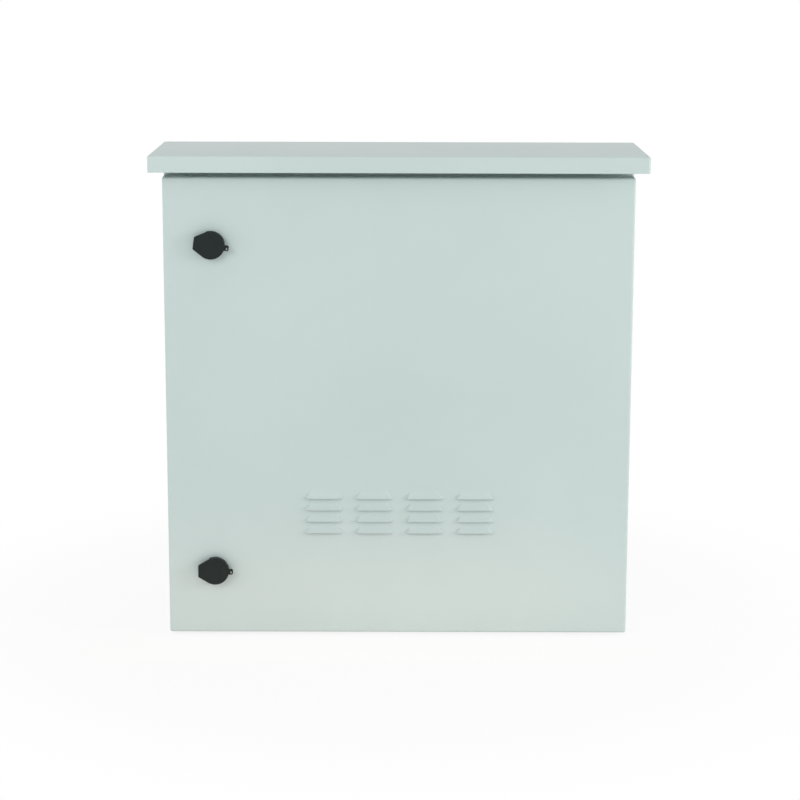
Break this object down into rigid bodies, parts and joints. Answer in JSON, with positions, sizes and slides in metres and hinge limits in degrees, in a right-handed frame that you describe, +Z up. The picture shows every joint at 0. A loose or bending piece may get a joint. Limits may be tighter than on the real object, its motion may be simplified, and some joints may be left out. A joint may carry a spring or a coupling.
{
  "type": "utility cabinet",
  "caption": "Outdoor sheet-steel utility cabinet: sloping rain roof, hinged door with pressed louvres, quarter-turn locks under dust flaps, equipment plate and cable entry inside.",
  "frame": {"origin": "on the ground, under the middle of the rain roof", "axes": "+X to the right of someone facing the door, +Y from the door to the back, +Z up"},
  "size_m": [0.632, 0.222, 0.6356],
  "materials": {
    "paint": "satin light grey powder coat",
    "zinc": "zinc plated, slightly dull",
    "black_plastic": "fine moulded texture",
    "rubber": "matt black",
    "filter_fibre": "off-white fibre mat"
  },
  "bodies": {
    "cabinet": {"body_wrap": "paint", "floor_pan": "paint", "top_pan": "paint", "roof_hood": "paint", "roof_rail_left": "paint", "roof_rail_right": "paint", "roof_studs": "zinc", "roof_nuts": "zinc", "mounting_plate": "zinc", "plate_standoffs": "zinc", "plate_nuts": "zinc", "gland_plate": "zinc", "gland_gasket": "rubber", "gland_screws": "zinc", "cable_grommets": "rubber", "body_earth_stud": "zinc", "body_earth_nut": "zinc", "lower_hinge_bracket": "zinc", "lower_hinge_pin": "zinc", "upper_hinge_bracket": "zinc", "upper_hinge_pin": "zinc"},
    "door": {"door_panel": "paint", "door_gasket": "rubber", "door_earth_stud": "zinc", "door_earth_nut": "zinc", "filter_tray": "zinc", "filter_mat": "filter_fibre", "filter_studs": "zinc", "filter_nuts": "zinc", "lower_hinge_leaf": "zinc", "lower_lock_housing": "black_plastic", "lower_lock_seal": "rubber", "lower_lock_nut": "zinc", "lower_lock_flap_pin": "zinc", "upper_hinge_leaf": "zinc", "upper_lock_housing": "black_plastic", "upper_lock_seal": "rubber", "upper_lock_nut": "zinc", "upper_lock_flap_pin": "zinc"},
    "lower_latch": {"lower_lock_driver": "zinc", "lower_lock_cam": "zinc", "lower_lock_cam_screw": "zinc"},
    "lower_flap": {"lower_lock_flap": "black_plastic"},
    "upper_latch": {"upper_lock_driver": "zinc", "upper_lock_cam": "zinc", "upper_lock_cam_screw": "zinc"},
    "upper_flap": {"upper_lock_flap": "black_plastic"}
  },
  "joints": [
    {"name": "door_swing", "type": "hinge", "parent": "cabinet", "child": "door", "pos_m": [0.2915, -0.07593, 0.305], "axis": [0, 0, 1], "range_deg": [0, 110]},
    {"name": "lower_lock_turn", "type": "hinge", "parent": "door", "child": "lower_latch", "pos_m": [-0.23899, -0.089, 0.09], "axis": [0, 1, 0], "range_deg": [0, 90]},
    {"name": "lower_flap_lift", "type": "hinge", "parent": "door", "child": "lower_flap", "pos_m": [-0.25859, -0.0948, 0.09], "axis": [0, 0, -1], "range_deg": [0, 110]},
    {"name": "upper_lock_turn", "type": "hinge", "parent": "door", "child": "upper_latch", "pos_m": [-0.23899, -0.089, 0.52], "axis": [0, 1, 0], "range_deg": [0, 90]},
    {"name": "upper_flap_lift", "type": "hinge", "parent": "door", "child": "upper_flap", "pos_m": [-0.2584, -0.0948, 0.52273], "axis": [-0.1392, 0, -0.9903], "range_deg": [0, 110]}
  ]
}
